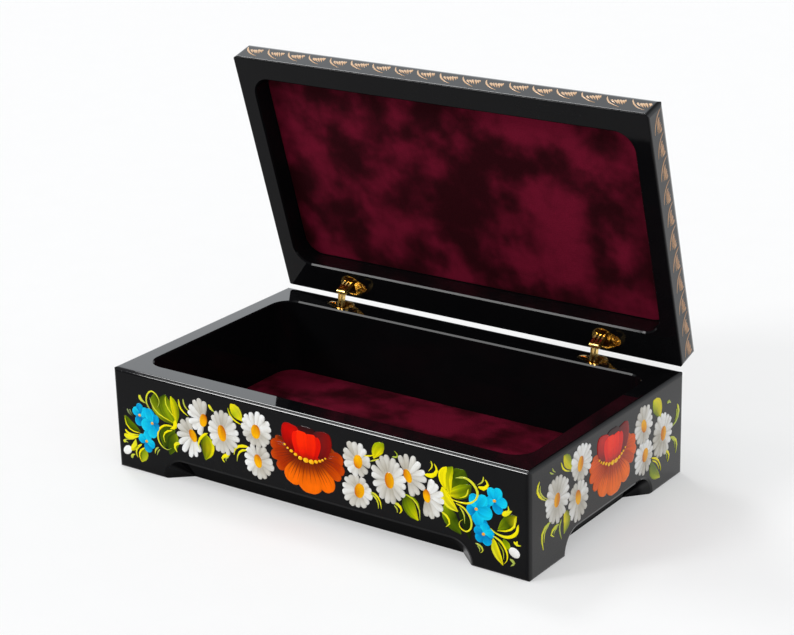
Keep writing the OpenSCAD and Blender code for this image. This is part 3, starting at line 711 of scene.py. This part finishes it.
    broad_leaves(face, 0.6, (
        ([(80.6, 53), (84, 49.2), (88, 45)], 7.4, 1, LEMON, (STRAW, LIME), LEMON),
        ([(62.8, 32), (63.6, 24.5), (61.6, 17.4)], 10, 1, (LIME, GREEN), (LEMON, MOSS), (LIME, GREEN)),
        ([(176.8, 52.8), (172.6, 48.2), (170.4, 43.4)], 7, 1, (GREEN, LIME), (LEMON, LIME), LEMON),
        ([(189, 29), (191.6, 21.6), (196.4, 16.4)], 8.4, 1, MOSS, (LIME, GREEN), (LEMON, LIME)),
        ([(224, 49.6), (219.6, 43), (214, 36)], 14, 0, (MOSS, GREEN), (GREEN, MOSS), (LIME, GREEN)),
        ([(227.8, 42.6), (222, 38), (213, 34.8)], 8, 0.5, (MOSS, GREEN), (GREEN, LIME), LEMON),
        ([(217, 50), (213.6, 43.4), (215.4, 35)], 7, 0.9, (LIME, GREEN), (LEMON, LIME), LEMON),
        ([(213.6, 49.2), (210.8, 44), (212.6, 36.8)], 5, 1.3, LEMON),
        ([(210.8, 38), (213.6, 31.4), (219.8, 27)], 7, 1.6, LEMON, (LEMON, STRAW)),
        ([(212.6, 30), (215.4, 22), (221.4, 15.4)], 9.4, 0, (GREEN, LIME), (MOSS, GREEN),
         (GREEN, MOSS)),
        ([(220, 28), (224, 22.6), (226.6, 13.8)], 5.4, 0.2, MOSS, (20, 30, 4)),
        ([(252.8, 33), (247.4, 27.6), (242.4, 23.4)], 7.4, 1, (LEMON, MOSS), (MOSS, GREEN),
         (GREEN, LIME)),
        ([(239.6, 18.2), (241.2, 11.6), (245.2, 5.2)], 5, 1, (LEMON, LIME), (LEMON, STRAW), LEMON),
        ([(249, 14.6), (246.6, 17.2), (245.4, 19.6)], 4.4, 1, LIME, GREEN)))
    tendrils(face, 5, (
        ([(218.6, 44.6), (224, 45.8), (228.4, 44), (231, 40.4), (230.4, 36.4), (226, 33), (219, 32.4),
         (212.6, 33.8)], 1.7, SAGE, STRAW, STRAW, LEMON, LEMON),
        ([(226, 40.6), (224.6, 36.6), (220.6, 34.6)], 1, STRAW, LEMON),
        ([(218.6, 31.4), (223.6, 29.6), (227, 25.4), (227.2, 20.6), (224.6, 17.8), (221.2, 18.8),
         (220.4, 21.6), (222.8, 24)], 1.3, LEMON, STRAW, STRAW, LEMON, STRAW),
        ([(220.8, 30), (223.2, 26.6), (223.6, 21.6)], 0.9, STRAW, SAGE),
        ([(252.2, 32), (251.6, 27.2), (247.6, 24), (241.8, 22.8)], 1.4, STRAW, LEMON, LEMON),
        ([(253.9, 28.8), (252.4, 23.6), (247.4, 20.6), (241.4, 21.2), (238.2, 23.2)], 2, LEMON, LEMON,
         STRAW),
        ([(239.6, 19.6), (244.4, 17.2), (247.2, 13), (247.5, 9), (245.8, 6.2)], 1.4, STRAW, LEMON,
         LEMON),
        ([(242.2, 17), (245.2, 13), (245.6, 8.4)], 0.8, GREEN, STRAW)))
    face.stroke("leaves", [(248.6, 14.9), (251.4, 13.6), (254.4, 12.2)], 5.6, [(WHITE, CREAM)], 2,
                "oval")
    blue_flowers(face, (
        ([(16, 30), (21, 33), (26.6, 36)], 8), ([(22, 24), (25, 28), (28, 32)], 8.6),
        ([(20, 21), (22.4, 18.6), (24.6, 15.6)], 6.6)), (
        ((17.4, 33), 3, (16.6, 29.2, 6, 0), (21.6, 35.6, 6, 1), (17.6, 37.6, 5.4, 0),
         (14.8, 34.8, 5.6, 2)),
        ((21.2, 18.8), 3, (22, 15, 6, 0), (24.6, 17.6, 5.4, 1), (22, 22.4, 6, 1),
         (18, 19.8, 5.8, 2)),
        ((26.1, 30.2), 4, (28.4, 33.2, 5.6, 0), (24.2, 35.2, 7.4, 1), (28.6, 28.4, 5.4, 0),
         (25.6, 24.6, 7.2, 2), (21.6, 28, 8.2, 2))))
    blue_flowers(face, (
        ([(228, 30), (232, 33), (238, 37)], 8), ([(229, 27), (233, 24), (236, 20)], 7.6)), (
        ((234.3, 19), 3, (235.2, 22.6, 6, 1), (238, 20.2, 5.6, 1), (236.2, 16, 6.2, 0),
         (231.8, 16.6, 5.6, 0), (230.8, 20, 5, 0)),
        ((240.7, 38), 3, (242.6, 34, 6.2, 0), (245.2, 37.8, 6.2, 2), (242.6, 42.6, 5.8, 2),
         (238.8, 42.2, 5.4, 2), (238, 37.2, 5, 1)),
        ((230.4, 31.2), 4, (231.2, 26, 7.4, 1), (227.4, 30, 6.4, 0), (229, 36.2, 6.6, 1),
         (234.2, 36.6, 7.2, 2), (236, 30.4, 8.2, 2))))
    daisies(face, (
        ((54, 29.4), (42.6, 16.8), (60.6, 38.8), (125,), 130, 4, -26, (5.2, 8), 96, 322),
        ((61.8, 39.8), (51, 31), (67.6, 51.8), (78,), 70, 5, 14, (5.6, 8.2), 62, 262),
        ((74, 35.3), (64.4, 23.2), (85.6, 48), (95, 285), 40, 5, -8, (6.6, 10)),
        ((97.2, 25), (88, 15), (107.4, 34.6), (70, 300), 70, 4, -10, (6, 8.2)),
        ((96.6, 41.2), (86.6, 32.4), (107.4, 52.4), (250, 290), 60, 5, 4, (7, 8.6)),
        ((161.3, 24), (150, 14), (169, 32.4), (265, 95), 220, 4, 16, (7, 9)),
        ((161, 39.6), (151, 31.2), (168.6, 50.4), (140, 320), 250, 5, 6, (6.4, 8.2)),
        ((201.8, 31), (196, 19), (212.2, 40.4), (250,), 80, 4, -8, (5, 7.6), -112, 84),
        ((190.8, 39), (182, 28.6), (202, 50.8), (-62, 125), 130, 5, -24, (5.4, 8), -84, 128),
        ((179.8, 34), (168.6, 21.4), (190.2, 47.4), (110, 270), 190, 6, -2, (6.6, 9.4))))
    face.draw_at((129, 34))
    poppy(face)


def side_band(face):
    """The short band of the left and right boards, laid out from the left end and from the floor."""
    tendrils(face, 4, (
        ([(9, 49.2), (6.8, 45.4), (9.5, 40.6), (15.6, 36.4)], 1.9, STRAW, LEMON, SAGE),
        ([(9.6, 47), (9.2, 43.8), (12, 40), (17, 36.6)], 1.1, SAGE, STRAW),
        ([(18, 50.4), (19.5, 49.2), (22, 48)], 1, SAGE),
        ([(20.4, 51.6), (21.4, 49.8), (23.4, 48.4)], 0.9, SAGE),
        ([(28.4, 51.6), (30.2, 47.8), (33.6, 45.2), (38.2, 43.6)], 1.2, STRAW, LEMON, SAGE),
        ([(19, 24.4), (13, 22.8), (10.8, 19), (12.2, 11.8)], 2.1, SAGE, STRAW, STRAW),
        ([(17.4, 23.4), (13.6, 21), (12.6, 15.8)], 1, SAGE, STRAW),
        ([(26.6, 20.2), (21.6, 19.4), (19.2, 17.4), (22.2, 15)], 2.1, SAGE, STRAW, STRAW),
        ([(25, 19), (22.4, 18), (21.6, 16.2)], 1, SAGE),
        ([(28.8, 22), (27, 17.6), (28.8, 11)], 1.5, SAGE),
        ([(133.8, 45.4), (136, 45.6), (137.8, 44.2)], 2, SAGE),
        ([(145, 41.2), (146.6, 36.6), (144.2, 32), (138.6, 30.2)], 2.3, STRAW, SAGE, SAGE),
        ([(144, 38.8), (144.4, 35.4), (142.4, 32.4)], 1, SAGE),
        ([(137.2, 25.2), (142, 23), (145.2, 19.2), (144, 13.4)], 1.9, SAGE, STRAW, SAGE),
        ([(139, 23.8), (142.4, 21), (143.2, 16.8)], 1, SAGE),
        ([(117.8, 20.6), (124, 17.8), (127.4, 13.2), (128.2, 9.4)], 1.5, LEMON, LEMON, STRAW),
        ([(118.8, 18.8), (123.6, 15.8), (126.6, 10.8)], 1.1, LEMON, STRAW),
        ([(130, 20.6), (134.6, 18.4), (137, 15), (135.2, 11.8)], 1.9, SAGE, LEMON, STRAW),
        ([(131.4, 19), (134, 16.6), (134.6, 13.2)], 0.9, SAGE)))
    broad_leaves(face, 0.4, (
        ([(31.2, 54.2), (35, 49.4), (38.4, 44.2)], 7, 1, (GREEN, LEMON), (GREEN, LEMON),
         (LIME, LEMON)),
        ([(32, 25.2), (34.2, 19), (31.2, 12.8)], 7, 1, (MOSS, LEMON), (GREEN, LEMON), (GREEN, LIME)),
        ([(119, 51.6), (124, 46.4), (127, 39.8)], 9.6, 1, (LEMON, LIME), (LEMON, GREEN),
         (LEMON, GREEN)),
        ([(117.2, 18.6), (120.2, 12), (127.6, 6.2)], 7.4, 1, (GREEN, MOSS), (GREEN, LIME),
         (LIME, STRAW))))
    daisies(face, (
        ((44.3, 27.3), (35, 14.4), (54.4, 36), (135, 300), 80, 4, -10, (6, 8.8)),
        ((46.4, 44.2), (37.6, 34.6), (58, 54.8), (250,), 30, 5, 14, (6.2, 8.8)),
        ((24.4, 33.6), (13.6, 21.4), (36.4, 46.8), (90, 265), 10, 6, 10, (6.4, 8.2)),
        ((111, 24.8), (99.8, 14), (119.4, 33.6), (300,), 220, 4, 16, (6.8, 8.4)),
        ((109.2, 41.4), (99.8, 30.6), (118.6, 52.8), (120, 270), 240, 5, -22, (6.2, 8.4)),
        ((130, 30), (118.4, 16.8), (139.8, 42.2), (250, 200), 180, 6, 4, (6.6, 8.8))))
    face.draw_at((78.3, 34.4))
    poppy(face, fresh=0.8)


box_low = (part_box("left_board")[0].x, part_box("front_board")[0].y)
box_high = (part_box("right_board")[1].x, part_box("back_board")[1].y)
for name, corner, way, band in (
        ("front", box_low, (1, 0, 0), front_band), ("back", box_high, (-1, 0, 0), front_band),
        ("right", (box_high[0], box_low[1]), (0, 1, 0), side_band),
        ("left", (box_low[0], box_high[1]), (0, -1, 0), side_band)):
    painted = PaintedFace(name, "box", (*corner, 0), way, (0, 0, 1))
    band(painted)
    painted.dry()

# Lid: a bouquet of the same flowers on its top, and a row of small feathers in gold colour along each
# of its edges. Each feather is one long crescent and a comb of six comma strokes.
GOLD, PALE_GOLD, BRONZE = (214, 168, 124), (226, 190, 152), (160, 118, 84)
FEATHER_INSET, FEATHER_LENGTH, FEATHER_LEVEL = 2.7, 12.2, 3.7
FEATHERS_LONG, FEATHERS_SHORT = 18, 11
FEATHER = (
    ([(0, 8.2), (1.7, 5.1), (4.8, 2.4), (8, 0.9), (11.3, 0)], 1.15, "line"),
    ([(3.8, 5.7), (5.4, 4.1), (7.2, 2.7)], 1.4, "comma"),
    ([(5.4, 5.8), (7.2, 4.1), (9, 2.3)], 1.4, "comma"),
    ([(6.7, 6.3), (8.5, 4.5), (10.3, 2.3)], 1.35, "comma"),
    ([(8.1, 6.7), (9.8, 4.8), (11.6, 2.3)], 1.3, "comma"),
    ([(9.7, 6.8), (10.9, 5.3), (12.1, 3.6)], 1.3, "comma"),
    ([(10.7, 7), (11.5, 6), (12.2, 4.8)], 1.2, "comma"))


def gold_feathers(face, long, count, tones):
    """A row of feathers that fills the length of one edge."""
    room = long - 2 * FEATHER_INSET - FEATHER_LENGTH
    for i in range(count):
        start = FEATHER_INSET + i * room / (count - 1)
        face.draw_at((start, FEATHER_LEVEL + face.rng.uniform(-0.2, 0.2)), face.rng.uniform(-3, 3))
        for path, wide, shape in FEATHER:
            moved = [[at + face.rng.uniform(-0.2, 0.2) for at in point] for point in path]
            wide *= face.rng.uniform(0.85, 1.15)
            face.stroke("gold_feathers", moved, wide, tones, 0, shape)


lid_low = (closed_corners("lid_left_rail")[0][0], *closed_corners("lid_front_rail")[0][1:])
lid_high = (closed_corners("lid_right_rail")[1][0], *closed_corners("lid_back_rail")[1][1:])
lid_long, lid_deep = (lid_high[0] - lid_low[0]) * 1000, (lid_high[1] - lid_low[1]) * 1000
at_length = (lid_long, FEATHERS_LONG, (PALE_GOLD, GOLD))
at_end = (lid_deep, FEATHERS_SHORT, (BRONZE, GOLD))
for name, corner, way, row in (
        ("lid_front", lid_low[:2], (1, 0, 0), at_length),
        ("lid_back", lid_high[:2], (-1, 0, 0), at_length),
        ("lid_right", (lid_high[0], lid_low[1]), (0, 1, 0), at_end),
        ("lid_left", (lid_low[0], lid_high[1]), (0, -1, 0), at_end)):
    painted = PaintedFace(name, "lid", (*corner, lid_low[2]), way, (0, 0, 1), lid_opened)
    gold_feathers(painted, *row)
    painted.dry()


def leaf(face, at, turned, scale):
    """Broad leaf with a pale edge stroke, drawn from its stalk upwards and then turned."""
    face.draw_at(at, turned, scale)
    broad_leaves(face, 0.4, (
        ([(-2.5, 15), (-2.6, 8), (0, 0)], 7, 0.5, (GREEN, MOSS), (MOSS, GREEN), (LIME, GREEN)),
        ([(2.5, 15), (2.6, 8), (0, 0)], 7, 1, (LIME, LEMON), (GREEN, LEMON), (LIME, LEMON))))
    tendrils(face, 2, (
        ([(-5.6, 12), (-6.4, 6.5), (-1, -0.5)], 1.3, STRAW, LEMON, LEMON),
        ([(6.2, 13), (6.8, 7), (1.2, -0.8)], 1.5, SAGE, STRAW, LEMON)))


def spray(face, at, turned, scale):
    """Tendril with comma strokes down both sides."""
    face.draw_at(at, turned, scale)
    tones = [LEMON, STRAW, SAGE]
    face.stroke("tendrils", [(0, 0), (1.6, 8), (-0.5, 16), (-4, 21)], 1.2, tones, 1, "line", "long")
    for i, x in enumerate((0.8, 1.5, 0.8, -0.4, -2.4)):
        y = 3 + 3.6 * i
        for hand in (-1, 1):
            path = [(x + hand * (5.6 - 0.6 * i), y + 3), (x + hand * 2.6, y + 1.7), (x, y)]
            face.stroke("tendrils", path, 2.2 - 0.2 * i, tones, 2, "comma")


top = PaintedFace("lid_top", "lid", (*lid_low[:2], lid_high[2]), (1, 0, 0), (0, 1, 0), lid_opened)
middle = np.array((lid_long / 2, lid_deep / 2))
PETAL_TURN = 1.2566
blue_petals = [(4.2 * math.cos(a), 4.2 * math.sin(a), 5.2, i % 3)
               for i, a in enumerate(np.arange(5) * PETAL_TURN + 0.4)]
for hand in (-1, 1):
    for x, y, turned, scale in (
            (40, 24, -48, 1.5), (48, -16, -112, 1.45), (72, 12, -72, 1.4), (24, 42, -18, 1.35),
            (30, -38, -150, 1.4), (78, -24, -118, 1.15)):
        leaf(top, middle + (hand * x, y), hand * turned, scale)
    for x, y, turned, scale in (
            (84, 26, -62, 1.3), (94, -6, -92, 1.1), (58, 42, -34, 1.2), (60, -40, -128, 1.2),
            (14, -42, -165, 1.0), (8, 46, -8, 1.0)):
        spray(top, middle + (hand * x, y), hand * turned, scale)
    for x, y, scale in ((88, 12, 1.3), (76, -10, 1.2), (24, 38, 1.1)):
        top.draw_at(middle + (hand * x, y), 20 * hand, scale)
        forget_me_not(top, (0, 0), 3, *blue_petals)
    for x, y, scale, layer in (
            (60, -22, 1.15, 4), (62, 22, 1.25, 5), (42, 2, 1.45, 6), (30, -32, 1.1, 4)):
        top.draw_at(middle + (hand * x, y), 0, scale)
        dark = (90 + 35 * hand, 270)
        daisy(top, (0, 0.6), (-10, -10.6), (10, 11), dark, 60, layer, 8 * hand, (6.2, 8.2))
top.draw_at(middle + (0, 4), 0, 1.45)
poppy(top, 4)
top.dry()

# Place that the object stands on: a pale seamless table that keeps the soft shadow. It glows a
# little where it is looked at or mirrored, so that it stays as white as the studio.
TABLE_WIDE = 30
PALENESS = 0.38


def ray(finish, kind):
    """1 for one kind of ray, and 0 for all others."""
    return finish.node("ShaderNodeLightPath", out=f"Is {kind} Ray")


table_top = flat_grid(4, 4, TABLE_WIDE)
table_top.name = "table_top"
table = Finish("pale_table")
weave = table.cloud(table.place(), 40, 3)
lit = table.shader({
    "Base Color": table.blend(weave, (0.9, 0.904, 0.91), (0.92, 0.924, 0.93)),
    "Roughness": table.step(weave, 0.2, 0.8, 0.8, 0.9),
    "Specular IOR Level": 0.02,
})
white = table.node("ShaderNodeEmission")
looked_at = ray(table, "Camera") + ray(table, "Glossy") + ray(table, "Transmission")
share = table.sum("MINIMUM", looked_at, 1.0) * PALENESS
table_top.data.materials.append(table.done(table.mix(share, lit, white)))

# Light: a white studio tent, of which the lacquer and the brass mirror the dim front and the bright
# back. Three soft lamps, and three long strips to the left that draw the lines along the edges.
TENT_DIM, TENT_BRIGHT = (0.28, 0.285, 0.295), (0.93, 0.965, 1.0)
TENT_LIGHT, BACKDROP = (0.52, 0.525, 0.53), (0.965, 0.973, 0.985)
SOFT, STRIP = 60, 13
tent = Finish("studio_tent", bpy.data.worlds)
bpy.context.scene.world = tent.look
northward = along(tent, "Generated", 1)
mirrored = tent.blend(tent.step(northward, 0.25, 0.4), TENT_DIM, TENT_BRIGHT)
shown = tent.blend(ray(tent, "Glossy"), TENT_LIGHT, mirrored)
shown = tent.blend(ray(tent, "Camera") + ray(tent, "Transmission"), shown, BACKDROP)
glow = tent.node("ShaderNodeBackground", None, {"Color": shown})
tent.node("ShaderNodeOutputWorld", None, {"Surface": glow})
for name, direction, strength, spread in (
        ("left_softbox", (0.55, 0.1, -1), 0.57, SOFT),
        ("front_softbox", (-0.1, 0.9, -0.7), 0.1, SOFT),
        ("side_fill", (-0.6, 0.3, -0.5), 0.42, SOFT),
        ("upper_strip", (0.548, -0.313, -0.775), 0.5, STRIP),
        ("middle_strip", (0.548, 0.339, -0.763), 0.1, STRIP),
        ("lower_strip", (0.548, 0.676, -0.491), 0.9, STRIP)):
    lamp = bpy.data.objects.new(name, bpy.data.lights.new(name, "SUN"))
    lamp.visible_glossy = spread == STRIP
    lamp.data.energy, lamp.data.angle = strength, math.radians(spread)
    lamp.matrix_world = Vector(direction).to_track_quat("-Z", "Y").to_matrix().to_4x4()
    bpy.context.scene.collection.objects.link(lamp)

bpy.context.scene.view_settings.view_transform = "Standard"
